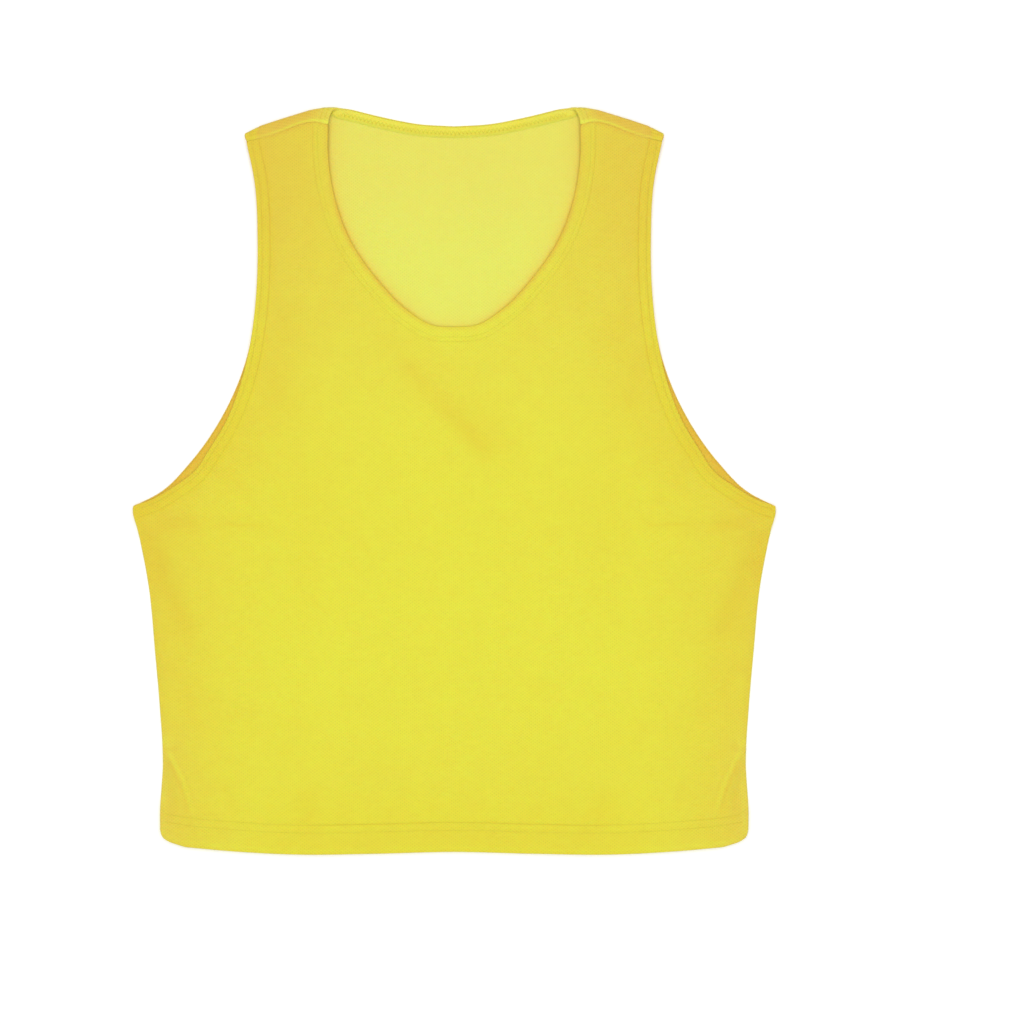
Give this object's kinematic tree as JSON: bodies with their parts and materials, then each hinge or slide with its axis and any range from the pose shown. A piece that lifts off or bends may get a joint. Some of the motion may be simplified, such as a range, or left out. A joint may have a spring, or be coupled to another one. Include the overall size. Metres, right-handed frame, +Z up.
{
  "type": "mesh training bib",
  "caption": "Sleeveless mesh training bib laid flat, front up, with a scoop neck, wide armholes, straps turned over the shoulders and stitched hems.",
  "frame": {"origin": "centre of the bounding box's underside, on the ground under the middle of the back panel", "axes": "+Y up the garment from the bottom hem to the shoulders, +X to the right of the garment as it is seen from above, +Z up from the ground through the back and the front"},
  "size_m": [0.4726, 0.55, 0.0055],
  "materials": {
    "mesh_cloth": "yellow warp-knit polyester mesh with a fine even net of pin holes",
    "mesh_cloth_single": "the same yellow polyester mesh, a single layer, paler over a light ground",
    "turned_hem": "the same yellow polyester mesh, doubled and twin-needle stitched"
  },
  "bodies": {
    "root": {"front_panel": "mesh_cloth", "back_panel": "mesh_cloth_single", "front_neck_hem": "turned_hem", "back_neck_hem": "turned_hem", "front_armhole_hem_left": "turned_hem", "front_armhole_hem_right": "turned_hem", "back_armhole_hem_left": "turned_hem", "back_armhole_hem_right": "turned_hem", "front_bottom_hem": "turned_hem", "back_bottom_hem": "turned_hem"}
  },
  "joints": []
}
